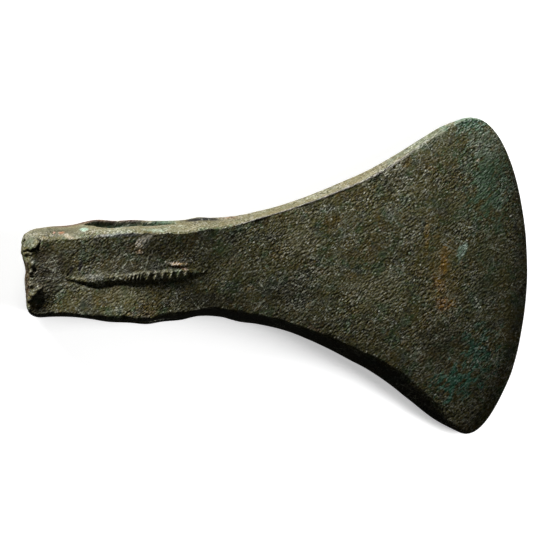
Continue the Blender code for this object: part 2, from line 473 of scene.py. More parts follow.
@dataclass
class Lattice:
    """The block of cells that is bent into the head.

    The runs are distances from the poll with the cells since the last one. The
    fine areas, from one distance to another and from one place across to
    another, have their cells on the front face cut in four, each in turn: the
    whole face, the rib's surroundings and the poll. The half widths are the
    head's own, rounded, at two distances.
    """

    runs: tuple[tuple[float, int], ...] = (
        (0, 0), (8, 12), (22.3, 17), (54.7, 44), (68, 16), (150, 68), (158, 9), (165.3, 10),
    )
    across_cells: int = 72
    across_grading: float = 0.62
    levels_below: Numbers = (-1, -0.965, -0.89, -0.77, -0.63, -0.53)
    hole_levels: Pair = (-0.445, 0.505)
    levels_above: Numbers = (0.57, 0.67, 0.79, 0.9, 0.965, 1)
    hole_cells: int = 10
    hole_run: int = 2
    bore_cells: int = 30
    fine_areas: Table = ((-1, 166, -20, 20), (13, 60.5, -4.6, 3.2), (0, 7.4, -13, 15))
    half_widths: Table = ((0, 40), (14.7, 17))

    def __post_init__(self) -> None:
        """Works out how many cells there are and where the opening is."""
        self.stops = np.cumsum([count for _, count in self.runs])
        self.hole_columns = self.stops[self.hole_run], self.stops[self.hole_run + 1]
        inner = np.linspace(*self.hole_levels, self.hole_cells + 1)
        self.levels = np.array([*self.levels_below, *inner, *self.levels_above])
        first = len(self.levels_below)
        self.hole_rows = first, first + self.hole_cells
        self.cells = int(self.stops[-1]), self.across_cells, len(self.levels) - 1

    def block(self) -> Shape:
        """Cuts a closed cube into cells and pierces it for the shaft.

        Returns:
            A mesh in the lattice's own space, from -1 to 1 each way.
        """
        shape = bmesh.new()
        bmesh.ops.create_cube(shape, size=2)
        for axis in Axis:
            self.cut_rungs(shape, axis, self.cells[axis])
        self.pierce(shape)
        for area in self.fine_areas:
            self.cut_in_four(shape, self.front_faces(shape, area))
        return shape

    @staticmethod
    def cut_rungs(shape: Shape, axis: Axis, count: int) -> None:
        """Cuts the edges that run the whole way along an axis, and the faces.

        Args:
            shape: The mesh, which is changed.
            axis: The axis.
            count: How many parts each edge becomes.
        """
        rungs = []
        for edge in shape.edges:
            start, finish = edge.verts
            if abs(start.co[axis] - finish.co[axis]) > 2 * ON_SIDE:
                rungs.append(edge)
        bmesh.ops.subdivide_edges(shape, edges=rungs, cuts=count - 1, use_grid_fill=True)

    @staticmethod
    def cut_in_four(shape: Shape, faces: Faces) -> None:
        """Cuts each of some faces of a mesh in four."""
        edges = list(dict.fromkeys(edge for face in faces for edge in face.edges))
        bmesh.ops.subdivide_edges(shape, edges=edges, cuts=1, use_grid_fill=True)

    def front_faces(self, shape: Shape, area: Numbers) -> Faces:
        """Picks the front's faces inside a rectangle.

        Args:
            shape: The block.
            area: Its distances from the poll and its places across.

        Returns:
            The faces whose middles are inside.
        """
        start, finish, low, high = area
        faces = [f for f in shape.faces if f.calc_center_median().z > ON_SIDE]
        middles = self.spots(np.array([face.calc_center_median() for face in faces]))
        place = middles.across * np.interp(middles.distance, *self.half_widths)
        inside = (middles.distance > start) & (middles.distance < finish)
        inside &= (place > low) & (place < high)
        return [face for face, hit in zip(faces, inside, strict=True) if hit]

    def pierce(self, shape: Shape) -> None:
        """Opens both sides of the block and joins the openings by a bore.

        Args:
            shape: The block, which is changed.
        """
        low_x, high_x = (2 * c / self.cells[Axis.ALONG] - 1 for c in self.hole_columns)
        low_z, high_z = (2 * r / self.cells[Axis.DEEP] - 1 for r in self.hole_rows)
        doomed = []
        for face in shape.faces:
            x, y, z = face.calc_center_median()
            if abs(y) > ON_SIDE and low_x < x < high_x and low_z < z < high_z:
                doomed.append(face)
        bmesh.ops.delete(shape, geom=doomed, context="FACES")
        rims = [edge for edge in shape.edges if edge.is_boundary]
        bmesh.ops.bridge_loops(shape, edges=rims)
        self.cut_rungs(shape, Axis.ACROSS, self.bore_cells)
        bmesh.ops.recalc_face_normals(shape, faces=shape.faces)

    def spots(self, corners: Array) -> Spots:
        """Turns points of the block into points of the head.

        Args:
            corners: Places in the block, from -1 to 1 each way.

        Returns:
            The same points as the lattice numbers them.
        """
        column = (corners[:, Axis.ALONG] + 1) / 2 * self.cells[Axis.ALONG]
        distance = np.interp(column, self.stops, [stop for stop, _ in self.runs])
        b = corners[:, Axis.ACROSS]
        across = self.across_grading * b
        across = across + (1 - self.across_grading) * (3 * b - b**3) / 2
        row = (corners[:, Axis.DEEP] + 1) / 2 * self.cells[Axis.DEEP]
        deep = np.interp(row, np.arange(len(self.levels)), self.levels)
        return Spots(distance, across, deep)


@dataclass
class Arrises:
    """The long arrises between faces and flanks, as worn as they are.

    Each table gives a radius along the head. It wavers, and never takes more
    than a share of the head's depth.
    """

    front_upper: Table = (
        (0, 4), (7, 3), (20, 2.8), (36, 2.2), (50, 1.1), (60, 0.8), (72, 0.35), (118, 0.35),
        (140, 0.7), (165, 0.3),
    )
    front_lower: Table = (
        (0, 0.8), (30, 1.4), (55, 1.3), (75, 0.7), (110, 0.5), (140, 0.9), (165, 0.3),
    )
    back: Table = ((0, 1.2), (100, 1), (150, 0.5), (165, 0.2))
    waver: float = 0.7
    waver_period: float = 4
    waver_apart: float = 9
    waver_octaves: int = 3
    least: float = 0.15
    most_of_depth: float = 0.4

    def round_off(self, places: Array, spots: Spots, inward: Array, depth: Array) -> None:
        """Rounds the arrises.

        Args:
            places: The head's points, which are changed.
            spots: The same points in the lattice.
            inward: Their distances from the outline.
            depth: How thick the head is at each of them.
        """
        x, across, deep = places[:, 0], spots.across, spots.deep
        upper = curve_through(self.front_upper, 1, x)
        front = np.where(across > 0, upper, curve_through(self.front_lower, 1, x))
        radius = np.where(deep > 0, front, curve_through(self.back, 1, x))
        sides = [self.waver_apart * np.sign(side) for side in (across, deep)]
        run = np.stack([x, *sides], 1)
        waver = random_waves(run, self.waver_period, self.waver_octaves)
        radius = np.clip(radius * (1 + self.waver * waver), self.least, None)
        radius = np.minimum(radius, self.most_of_depth * depth)
        on_face = np.abs(deep) > ON_SIDE
        off = np.where(on_face, inward, (1 - np.abs(deep)) * depth / 2)
        off = np.minimum(off, radius)
        turn = (1 - off / radius) * math.pi / 4
        slid = radius * (1 - np.sin(turn)) - off
        sunk = radius * (1 - np.cos(turn))
        edge = on_face | (np.abs(across) > ON_SIDE)
        shift_y = np.where(edge, np.where(on_face, slid, sunk), 0)
        shift_z = np.where(edge, np.where(on_face, sunk, slid), 0)
        places[:, 1] -= np.sign(across) * shift_y
        places[:, 2] -= np.sign(deep) * shift_z


@dataclass
class Rib:
    """The rib over the shaft hole: a lap with a steep lower lip and notches.

    The lap's slope runs from its crest down to its foot. Hammered notches cut
    the slope into thin slanted bars towards the rib's far end. A bar has a
    distance, a half width and a height.
    """

    foot: Table = (
        (13, -0.9), (16, -1.4), (20, -2.3), (23.5, -3.2), (25.5, -3.7), (28, -3.1), (30.5, -2.6),
        (38.5, -2.6), (45, -2.3), (50.5, -2.1), (52.5, -1.7), (55, -0.6), (57.5, 0.1),
        (60.5, 0.7),
    )
    crest: Table = (
        (13, -0.5), (16, -1), (19.3, -1.6), (22.5, -1.7), (26, -1.1), (29, -0.8), (32.4, -0.6),
        (35.5, -0.2), (39.5, 0.45), (44.5, 0.65), (49.5, 1.05), (53.5, 1.4), (57, 1.1), (60.5, 1),
    )
    height: Table = (
        (12, 0), (15, 0.1), (19, 0.4), (24, 0.9), (31, 0.8), (38, 0.8), (46, 0.85), (53, 0.85),
        (56.5, 0.45), (61, 0),
    )
    back_width: Table = (
        (13, 1.4), (19, 1.7), (24, 3), (28, 2.6), (31, 1.9), (35, 1.5), (42, 1.5), (60, 1.3),
    )
    plateau: float = 0.45
    plateau_width: float = 6.5
    round_power: float = 2.1
    bars: Table = (
        (34.9, 0.4, 0.3), (36, 0.3, 0.3), (37.2, 0.27, 0.4), (38.5, 0.27, 0.4),
        (39.5, 0.27, 0.38), (41.9, 0.42, 0.55), (44.4, 0.45, 0.55), (46.7, 0.4, 0.52),
        (49.4, 0.42, 0.55), (51.8, 0.4, 0.52), (54.1, 0.45, 0.5),
    )
    bar_reach: Pair = (0.1, 0.55)
    bar_fade: Pair = (0.9, 0.2)
    lean: float = 0.32
    nicks: Table = (
        (15.6, 0.2, 0.5, 0.8, -0.5), (30.6, -0.8, 0.45, 0.8, -0.5), (35.1, -0.2, 0.45, 0.8, -0.5),
        (43.2, 0, 0.5, 0.7, -0.4), (51.5, 3.4, 4.5, 0.8, 0.35),
    )
    groove_depth: float = 0.2
    groove_width: float = 0.6
    groove_off: float = 0.35
    groove_gain: float = 2
    foot_period: float = 2.4
    foot_reach: float = 0.35
    foot_octaves: int = 3

    def relief(self, x: Array, y: Array) -> Array:
        """Measures the rib's height over the smooth face.

        Args:
            x: Distances from the poll.
            y: Places across the head.

        Returns:
            The height at each place.
        """
        run = np.stack([x, 0 * x, 0 * x], 1)
        waver = random_waves(run, self.foot_period, self.foot_octaves)
        foot = curve_through(self.foot, 1, x) + self.foot_reach * waver
        crest = curve_through(self.crest, 1, x)
        height = np.clip(curve_through(self.height, 1, x), 0, None)
        share = (y - foot) / (crest - foot)
        profile = 1 - (1 - np.clip(share, 0, 1)) ** self.round_power
        over = np.clip(y - crest, 0, None)
        back = smooth_step(curve_through(self.back_width, 1, x), 0, over)
        gentle = smooth_step(self.plateau_width, 0, over)
        back = self.plateau * gentle + (1 - self.plateau) * back
        total = height * np.where(y > crest, back, profile)
        total = total + self.notches(x, y - crest, share)
        under = np.exp(-(((y - foot + self.groove_off) / self.groove_width) ** 2))
        total = total - self.groove_depth * under * np.clip(self.groove_gain * height, 0, 1)
        nicks = (lump(x - self.lean * (y - spot[1]), y, spot) for spot in self.nicks)
        return sum(nicks, total)

    def notches(self, x: Array, over: Array, share: Array) -> Array:
        """Measures the slanted bars that stand between the hammered notches.

        Args:
            x: Distances from the poll.
            over: How far over the crest's line each place is.
            share: How far up the slope it is, 0 at the foot.

        Returns:
            The height over the rib's plain slope.
        """
        slanted = x - self.lean * over
        total = np.zeros_like(x)
        for middle, half_width, height in self.bars:
            bar = height * np.exp(-(((slanted - middle) / half_width) ** 2))
            total = np.maximum(total, bar)
        return total * (smooth_step(*self.bar_reach, share) * smooth_step(*self.bar_fade, over))


@dataclass
class Burrs:
    """What hammering did to the poll: flaps, cracks, dents and a hollow."""

    flap_distance: float = 5.8
    flap_place: float = 8.5
    flap_height: float = 1.1
    flap_tilt: Pair = (0.12, 0.34)
    flap_ripples: Table = ((0.35, 1.9, 0), (-0.25, 0.9, 1))
    step: float = 0.25
    crack_slope: float = 0.18
    crack_start: float = 4
    crack_ripples: Table = ((0.18, 2.1, 0.5), (0.12, 4.3, 0))
    crack_depth: float = 0.7
    crack_half_width: float = 0.45
    crack_reach: Pair = (-2.5, -0.2)
    ledge_height: float = 0.15
    ledge_front: Pair = (-1.8, -1.3)
    ledge_back: Pair = (0, -0.5)
    ledge_end: Pair = (-0.6, 0.4)
    lower_flap: Numbers = (3.1, -8.2, 7.2, -3.8)
    lower_flap_height: float = 0.7
    lower_flap_width: float = 1.7
    lower_ripples: Table = ((0.15, 2.6, 0),)
    fold_start: Pair = (-1.5, 0.2)
    fold_end: Pair = (0.8, -1)
    fold_front: Pair = (-0.3, 0.15)
    hollow: Numbers = (7.5, -10.6, 6.8, 6.2, -1.15)
    hollow_front: Pair = (0.5, -0.5)
    lumps: Table = (
        (2.9, -10.4, 1.1, 2.2, 0.5), (4, 3.6, 0.9, 1.3, 0.6), (4.8, 1.8, 0.8, 1, -0.8),
        (3.4, 1.2, 1, 0.9, 0.5), (4, -0.4, 1, 0.5, -0.7), (2.7, 2.2, 0.4, 3, -0.4),
        (2.4, 6, 1.6, 1.5, -0.5), (8.2, 0.4, 3, 2.4, -0.25), (3.4, -3, 1.6, 1.4, 0.4),
        (9.5, 7, 4, 6, -0.5),
    )

    def relief(self, x: Array, y: Array) -> Array:
        """Adds up the burrs' heights over the smooth face, at distances and places."""
        folds = self.upper_flap(x, y) + self.lower_fold(x, y)
        return sum((lump(x, y, spot) for spot in self.lumps), folds)

    def upper_flap(self, x: Array, y: Array) -> Array:
        """Measures the flap over the upper corner and the crack under it.

        Args:
            x: Distances from the poll.
            y: Places across the head.

        Returns:
            The height at each place.
        """
        # The places' distances inside the flap's two edges.
        right = self.flap_distance + ripple(y, self.flap_ripples) - x
        slope = self.crack_slope * (x - self.crack_start)
        below = y - self.flap_place - slope + ripple(x, self.crack_ripples)
        inside = np.minimum(right, below)
        tilt_x, tilt_y = self.flap_tilt
        top = self.flap_height - tilt_x * np.clip(right, 0, None)
        top = top - tilt_y * np.clip(below, 0, None)
        flap = top * smooth_step(-self.step, self.step, inside)
        near = smooth_step(*self.crack_reach, below) * smooth_step(*self.crack_reach, right)
        crack = np.exp(-(((inside + self.step) / self.crack_half_width) ** 2))
        ledge = smooth_step(*self.ledge_front, below) * smooth_step(*self.ledge_end, right)
        ledge = ledge * smooth_step(*self.ledge_back, below)
        return flap + self.ledge_height * ledge - self.crack_depth * crack * near

    def lower_fold(self, x: Array, y: Array) -> Array:
        """Measures the folded ridge over the lower corner and its hollow.

        Args:
            x: Distances from the poll.
            y: Places across the head.

        Returns:
            The height at each place.
        """
        # The places' distances over the fold's line and along it.
        x0, y0, x1, y1 = self.lower_flap
        slope = (y1 - y0) / (x1 - x0)
        above = (y - y0 - slope * (x - x0)) / math.hypot(1, slope)
        along = ((x - x0) + slope * (y - y0)) / math.hypot(1, slope)
        above = above + ripple(along, self.lower_ripples)
        past = along - math.hypot(x1 - x0, y1 - y0)
        reach = smooth_step(*self.fold_start, along) * smooth_step(*self.fold_end, past)
        fall = np.exp(-((above / self.lower_flap_width) ** 2))
        ridge = smooth_step(*self.fold_front, above) * fall
        hollow = lump(x, y, self.hollow) * smooth_step(*self.hollow_front, above)
        return self.lower_flap_height * ridge * reach + hollow


@dataclass
class Skin:
    """The rough skin of an old casting. Each wave has a period and a height."""

    waves: Table = ((20, 0.1), (6, 0.03), (2.2, 0.015))
    wave_octaves: int = 2
    arris_wave: Pair = (4.5, 0.3)
    poll_wave: Pair = (2.6, 0.4)
    poll_reach: float = 5
    bore_wave: Pair = (3, 0.15)
    local_octaves: int = 3
    seed_step: float = 7.3
    local_seed: float = 31.7

    def relief(self, places: Array, arris: Array, bore: Array) -> Array:
        """Measures how far each point stands out of the smooth form.

        Args:
            places: Points on the head.
            arris: 1 on the arrises between faces and flanks, less elsewhere.
            bore: 1 in the shaft hole, 0 elsewhere.

        Returns:
            The height along the surface's normal.
        """
        total = np.zeros(len(places))
        for seed, (period, height) in enumerate(self.waves):
            shift = self.seed_step * seed
            total += height * random_waves(places, period, self.wave_octaves, shift)
        near_poll = smooth_step(self.poll_reach, 0, places[:, 0])
        local = ((arris, self.arris_wave), (near_poll, self.poll_wave), (bore, self.bore_wave))
        for seed, (share, (period, height)) in enumerate(local):
            shift = self.local_seed + seed
            waves = random_waves(places, period, self.local_octaves, shift)
            total += share * height * waves
        return total


def linear(colour: str) -> Numbers:
    """Turns an sRGB hex colour into a linear one.

    Args:
        colour: Six hex digits.

    Returns:
        Red, green, blue and a full alpha.
    """
    parts = [int(colour[i : i + 2], 16) / 255 for i in (0, 2, 4)]
    light = [p / 12.92 if p <= 0.04045 else ((p + 0.055) / 1.055) ** 2.4 for p in parts]
    return (*light, 1.0)


def add_node(
    tree: Tree,
    kind: str,
    settings: dict[str, object],
    inputs: dict[str | int, object] | tuple[object, ...],
    output: str | int = 0,
) -> Socket:
    """Adds a node with its settings, values and links.

    Args:
        tree: The material's or world's node tree.
        kind: The node's type, without the usual start of its name.
        settings: Properties to set on the node.
        inputs: Values for its inputs, by name or number, or in the inputs' own
            order. A socket is linked.
        output: The name or number of the output to return.

    Returns:
        One of the new node's outputs.
    """
    node = tree.nodes.new(f"ShaderNode{kind}")
    for name, value in settings.items():
        setattr(node, name, value)
    pairs = inputs.items() if isinstance(inputs, dict) else enumerate(inputs)
    for name, value in pairs:
        if isinstance(value, Socket):
            tree.links.new(value, node.inputs[name])
        else:
            node.inputs[name].default_value = value
    return node.outputs[output]


@dataclass(frozen=True)
class Bloom:
    """A layer of another colour that noise spreads over the patina.

    Its period is the size of its largest patches. It starts where the noise
    passes the low number and is full at the high one.
    """

    colour: str
    period: float
    low: float
    high: float
    strength: float
    detail: float = 3


@dataclass(frozen=True)
class Mark:
    """A patch or a scratch of another colour at one place on the head.

    Its turn is in degrees. The more ragged it is, the more noise tears it. Some
    marks are painted shade, a painted shadow or a painted highlight.
    """

    colour: str
    place: Numbers
    size: Numbers
    turn: float = 0
    strength: float = 0.7
    ragged: float = 0.9


@dataclass(frozen=True)
class BronzePatina:
    """Cast tin bronze with a thick, matt patina grown in soil.

    Copper corrosion gives a dull olive brown, tin oxide the paler bloom, and
    cuprite the red brown that shows where the skin is rubbed or broken. The
    real grain and bosses are too fine to show, so they are drawn coarser, 0.3
    to 0.6 mm wide.

    A later mark covers an earlier one. A set of scratches has a turn, a length
    and a width.
    """

    base: str = "645e2a"
    blooms: tuple[Bloom, ...] = (
        Bloom("4d4d22", 30, 0.48, 0.66, 0.35),
        Bloom("787337", 15, 0.5, 0.7, 0.3),
        Bloom("705a0e", 8, 0.52, 0.66, 0.6, 5),
        Bloom("436640", 6, 0.5, 0.66, 0.65, 5),
        Bloom("4c5048", 3.4, 0.52, 0.66, 0.6, 4),
        Bloom("7c600e", 2.8, 0.57, 0.68, 0.5),
        Bloom("537a56", 2.4, 0.57, 0.68, 0.5),
        Bloom("b3b59c", 0.8, 0.61, 0.7, 0.8, 1),
    )
    marks: tuple[Mark, ...] = (
        Mark("9a946c", (91, 11.5, 15), (9, 8, 8), 0, 0.5, 0.7),
        Mark("222014", (61, -8.5, 22), (18, 5.5, 9), 0, 0.6, 0.7),
        Mark("2a2818", (90, -5, 14), (10, 8, 8), 0, 0.5, 0.7),
        Mark("2a2818", (137, -21, 8), (12, 8, 8), 20, 0.5, 0.7),
        Mark("38361f", (121, 33, 10), (10, 6, 8), 25, 0.4, 0.7),
        Mark("908a60", (116, -5, 11), (13, 9, 8), 0, 0.45, 0.7),
        Mark("80805a", (145, 25, 7), (7, 6, 8), 0, 0.3, 0.7),
        Mark("2c2a1a", (81, -5, 16), (7, 5, 8), 0, 0.35, 0.7),
        Mark("33301c", (150, -4, 6), (6, 7, 8), 0, 0.3, 0.7),
        Mark("1c1a10", (37, 6, 26), (30, 9, 5), 0, 0.35, 0.6),
        Mark("908a60", (34, -6, 26), (9, 5.5, 5), 0, 0.4, 0.6),
        Mark("1c1a10", (20.5, -12.8, 24), (10, 3.6, 9), -4, 0.45, 0.6),
        # Painted shadow: near black in the hollow by the lower fold at the poll.
        Mark("14120c", (6, -12.4, 22), (7, 3.4, 9), 0, 0.6, 0.6),
        Mark("567e5e", (152, 32, 4), (10, 17, 6), 0, 0.75, 1.6),
        Mark("8c7838", (138, 1, 8), (8, 13, 5), 0, 0.5, 0.8),
        Mark("9c760c", (137.9, 4.6, 8), (1.9, 6.5, 5), -8, 1),
        Mark("9c760c", (135.9, -2.4, 8), (2.6, 5.4, 5), 12, 1),
        Mark("a0740e", (137.8, -9.2, 8), (3.2, 3.6, 5), 0, 1),
        Mark("9c760c", (140.9, -8.7, 8), (1.6, 2.6, 5), 0, 1),
        Mark("8a7008", (132.2, 14, 8), (1.3, 8.5, 5), 0, 0.9, 1.2),
        Mark("48836a", (149, -25.5, 5), (6.5, 8.5, 5), -20, 0.75, 2.4),
        Mark("4e9074", (141.5, -34, 6), (7, 6, 5), 0, 0.85, 2.2),
        Mark("6a9276", (147, 50.5, 4), (10, 5, 6), 0, 0.9, 1.4),
        Mark("a8c4a8", (144.3, 8.7, 7), (1.6, 4.6, 5), -20, 1, 1.3),
        Mark("c8b791", (149, 37.7, 5), (0.7, 0.8, 5), 0, 0.9, 0.3),
        Mark("a09a78", (132.6, 31.8, 8), (1.3, 0.9, 5)),
        Mark("8b7650", (150.6, 19.4, 5), (0.35, 2.6, 5), 35, 0.8, 0.3),
        Mark("f0863a", (13.4, 14, 23), (1.5, 0.8, 5), 0, 1, 0.3),
        Mark("e0783a", (11, 14, 23), (0.7, 0.6, 5), 0, 1, 0.2),
        Mark("d8c8a8", (15.6, 12.8, 23), (3, 1.2, 5), -25, 1),
        Mark("e6dcc0", (40.6, 12.2, 26), (3.2, 1.3, 5), 20, 1),
        Mark("e6d6b4", (38.6, 10, 26), (1.5, 1.1, 5), 0, 1, 0.7),
        Mark("e0c4a0", (38.9, 7.8, 26), (1.7, 1.1, 5), 0, 1, 0.7),
        Mark("c8a878", (51, 3.8, 25), (4.6, 1.1, 5), -8, 1),
        Mark("b06c30", (52.6, 2.6, 25), (2.6, 0.7, 5), -10, 1, 0.8),
        Mark("e6dcc8", (43.8, 1.4, 25), (0.45, 0.5, 5), 0, 1, 0.2),
        Mark("8f94a0", (24.5, -0.4, 26), (4.5, 1.4, 5), 0, 0.25),
        Mark("665137", (95, -16.8, 14), (4.5, 1.2, 5), -25, 0.8),
        Mark("6f5b38", (42, -12, 26), (4, 1.6, 5), 10, 0.6),
        # Dark brown beside the upper flap: brown patina and the flap's painted shadow.
        Mark("33280f", (9, 1, 25), (10, 12, 6), 0, 0.75, 0.5),
        Mark("2c2a1a", (36, 1.5, 26), (24, 3.5, 5), 4, 0.35, 0.6),
        Mark("5a3a1c", (2, -2, 22), (2, 9, 9), 0, 0.8),
        Mark("4e6444", (150, -2, 6), (9, 26, 8), 0, 0.25, 0.8),
        Mark("566a50", (132, 47.5, 6), (24, 8, 9), 32, 0.5, 0.7),
        # Pale green on the poll's lower corner: green patina with a painted highlight.
        Mark("9db08a", (2.9, -10.6, 22), (0.8, 1.2, 5), 0, 0.9, 0.4),
        Mark("5e614a", (3.2, 11.6, 22), (3.6, 3.6, 9), 0, 0.7, 0.5),
        # Painted shade: duller olive where the upper flank is less lit near the poll.
        Mark("4b4a30", (13, 14.3, 22), (15, 3.4, 12), 0, 0.65, 0.5),
        # Painted shade: near black on the lower flank under the socket.
        Mark("0f0e0a", (50, -15, 9), (11, 3, 7), 0, 1, 0.3),
        Mark("9fbfa6", (20.7, 15, 22), (1.9, 0.8, 9), 0, 0.9, 0.5),
        Mark("9fb59c", (44, 14.7, 22), (4.5, 0.9, 9), 0, 0.6, 1.2),
        Mark("8a8f74", (33, 14.4, 22), (12, 1.3, 9), 0, 0.7, 0.5),
        Mark("5a2610", (18, 17.5, 8), (11, 1.8, 12), 9.5, 1, 0.3),
        Mark("386a4c", (33, 16.6, 6), (11, 4, 9), 0, 0.9, 2.2),
        Mark("3f7055", (46, 17.4, 8), (7, 1.8, 9), 0, 0.8),
        Mark("5c2410", (30, 19.1, 6), (22, 3.4, 9), 0, 1, 0.3),
        Mark("2c3a26", (31, 17, 8), (20, 1.6, 4), 0, 0.5, 0.6),
        # Painted shade: duller olive where the upper flank is less lit at the neck.
        Mark("6a6448", (62, 19.5, 14), (16, 5, 14), 5, 0.5, 0.7),
        Mark("0f0d08", (57.2, 18.1, 10.5), (6, 1.2, 5), 4, 1, 0.5),
        Mark("0f0d08", (61.6, 18.4, 10.5), (4.5, 0.9, 4), -3, 0.9, 0.5),
        Mark("74777a", (33, 13.2, 26), (13, 0.9, 5), 2, 0.6, 0.5),
        Mark("180a04", (19.6, 2.9, 26), (0.9, 3.8, 5), -8, 1, 0.1),
        Mark("1c1208", (16.6, 1.8, 26), (0.8, 2.2, 5), -20, 1, 0.1),
        Mark("7d5f3a", (67, 19, 10), (4.5, 0.8, 9), 0, 0.8),
        Mark("8c967c", (152, 43, 3), (8, 8, 9), 0, 0.5, 1.2),
        Mark("86763a", (133.5, -47, 4), (1.2, 0.8, 4), 0, 0.9),
    )
    torn_period: float = 1.7
    torn_detail: float = 5
    torn_reach: float = 2.5
    mark_core: float = 0.3
    # The upper flank is painted paler, a painted light, and the lower flank darker, a painted
    # shade: lit and shaded copies of the side patina.
    upper_flank: str = "877f5c"
    lower_flank: str = "37332a"
    bore: str = "9aa07a"
    zone_share: float = 0.65
    # Dark soil in crevices, which is also painted shade there.
    soil: str = "211e13"
    soil_share: float = 0.8
    worn: str = "8f8b72"
    worn_share: float = 0.5
    level_share: float = 0.1
    # Bare metal with a painted highlight, on the neck's upper arris only.
    rubbed: str = "978f94"
    scratch: str = "b5b89c"
    scratches: Table = (
        (12, 24.6, 1.26), (48, 26.4, 1.44), (77, 27.85, 1.585), (118, 29.9, 1.79),
        (155, 31.75, 1.975),
    )
    scratch_depth: float = 6
    scratch_level: float = 0.62
    scratch_spread: float = 0.01
    scratch_height: float = 0.05
    scratched_period: float = 9
    scratched_range: Pair = (0.44, 0.64)
    scratched_share: float = 0.75
    stroke_turn: float = 45
    stroke_stretch: float = 1.9
    grain_period: float = 0.34
    grain_value: Pair = (0.12, 2.1)
    grain_saturation: Pair = (1.55, 0.45)
    boss_period: float = 0.6
    boss_height: float = 0.25
    pit_period: float = 1.9
    pit_radii: Pair = (0.1, 0.25)
    pit_depth: float = 0.12
    calm_period: float = 11
    calm_range: Pair = (0.38, 0.6)
    calm_share: Pair = (0.55, 1)
    cloud_roughness: float = 0.6
    cloud_detail: float = 2
    roughness: float = 0.62
    metallic: float = 0.05

    def build(self, origin: Vector) -> bpy.types.Material:
        """Makes the material.

        Args:
            origin: Where distances and places across start, in metres.

        Returns:
            The new material.
        """
        material = bpy.data.materials.new("soil_patinated_cast_bronze")
        material.use_nodes = True
        tree = material.node_tree
        shader = tree.nodes["Principled BSDF"]
        nodes = PatinaNodes(self, tree, origin)
        tree.links.new(nodes.paint(), shader.inputs["Base Color"])
        tree.links.new(nodes.emboss(), shader.inputs["Normal"])
        shader.inputs["Roughness"].default_value = self.roughness
        shader.inputs["Metallic"].default_value = self.metallic
        return material


